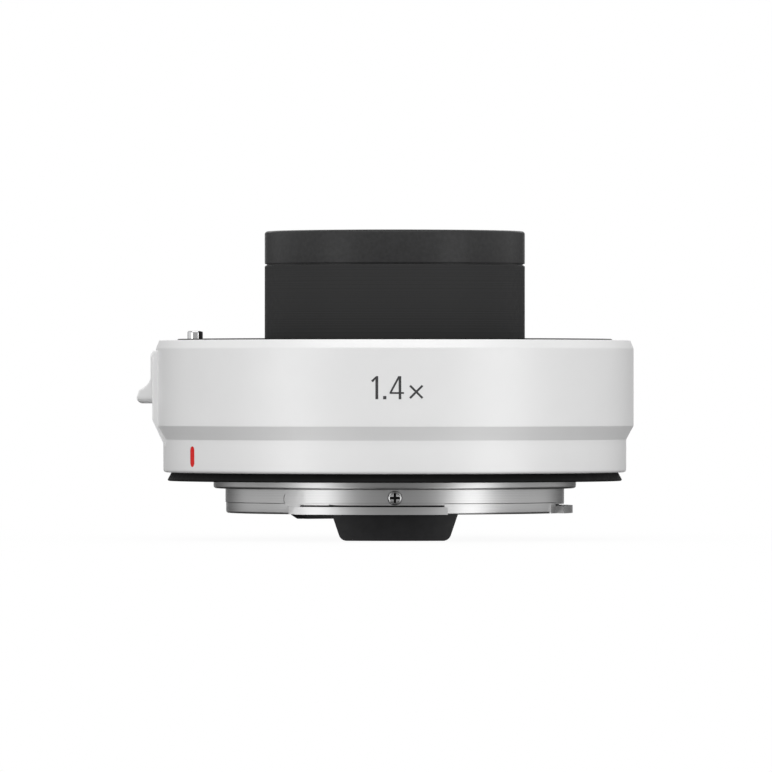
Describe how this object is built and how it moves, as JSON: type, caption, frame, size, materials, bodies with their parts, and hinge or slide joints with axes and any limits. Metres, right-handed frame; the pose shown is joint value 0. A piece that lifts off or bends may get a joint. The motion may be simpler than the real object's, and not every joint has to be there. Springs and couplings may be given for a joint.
{
  "type": "camera teleconverter",
  "caption": "Short white lens converter with a bayonet mount at each end, a black front tube, a sliding lock-release lever and sprung contacts.",
  "frame": {"origin": "optical axis at the rear mount's flange face", "axes": "+Z along the optical axis towards the lens side, the marked side looks along -Y, the release lever is at -X"},
  "size_m": [0.074, 0.0712, 0.0459],
  "materials": {
    "white_paint": "satin white paint",
    "red_paint": "red fill",
    "black_trim": "matt black",
    "stainless": "turned stainless steel",
    "chrome_pin": "bright plated",
    "spring_steel": "spring steel",
    "screw_steel": "plain screws",
    "black_screw": "blackened screws",
    "brass_part": "plain brass",
    "black_metal": "black anodised",
    "tube_black": "matt black with fine turned lines",
    "rubber_black": "black rubber",
    "coated_glass": "coated optical glass",
    "gold_plate": "gold plated",
    "board_green": "circuit board",
    "chip_black": "chip packages",
    "flex_amber": "flexible circuit"
  },
  "bodies": {
    "housing": {"outer_barrel": "white_paint", "index_marks": "red_paint", "front_trim_ring": "black_trim", "front_mount_ring": "stainless", "front_mount_screws": "screw_steel", "mount_spring": "spring_steel", "lock_pin_spring": "spring_steel", "main_frame": "black_metal", "front_baffle": "black_trim", "front_tube": "tube_black", "front_cap_ring": "tube_black", "lens_barrel": "black_metal", "barrel_screws": "black_screw", "front_retaining_ring": "black_metal", "front_element": "coated_glass", "front_cemented_element": "coated_glass", "triplet_front_element": "coated_glass", "triplet_middle_element": "coated_glass", "triplet_rear_element": "coated_glass", "middle_retaining_ring": "black_metal", "rear_cell": "black_metal", "third_element": "coated_glass", "rear_spacer_ring": "black_metal", "rear_element": "coated_glass", "rear_retaining_ring": "black_metal", "front_contact_block": "black_trim", "contact_flex": "flex_amber", "circuit_board": "board_green", "board_chips": "chip_black", "board_screws": "screw_steel", "flange_shim": "brass_part", "rear_mount_ring": "stainless", "rear_mount_screws": "screw_steel", "rear_gasket": "rubber_black", "rear_light_shield": "black_trim", "rear_shield_screws": "screw_steel", "rear_contact_block": "black_trim", "rear_contact_pads": "gold_plate", "rear_contact_screws": "black_screw"},
    "lever": {"release_lever": "white_paint", "release_carriage": "brass_part", "lever_screws": "screw_steel"},
    "lock_pin": {"lock_pin": "chrome_pin"},
    "contacts": {"contact_pins": "gold_plate"}
  },
  "joints": [
    {"name": "lever_slide", "type": "slide", "parent": "housing", "child": "lever", "axis": [0, 0, -1], "range_m": [0, 0.0016], "stiffness_N_per_m": 650, "springref_m": -0.001},
    {"name": "lock_pin_slide", "type": "slide", "parent": "housing", "child": "lock_pin", "axis": [0, 0, -1], "range_m": [0, 0.0016], "stiffness_N_per_m": 650, "springref_m": -0.001, "deforming": ["lock_pin_spring"]},
    {"name": "contact_press", "type": "slide", "parent": "housing", "child": "contacts", "axis": [0, 0, -1], "range_m": [0, 0.0009], "stiffness_N_per_m": 900, "springref_m": -0.0005}
  ],
  "couplings": [
    {"joint": "lock_pin_slide", "follows": "lever_slide", "ratio": 1}
  ]
}
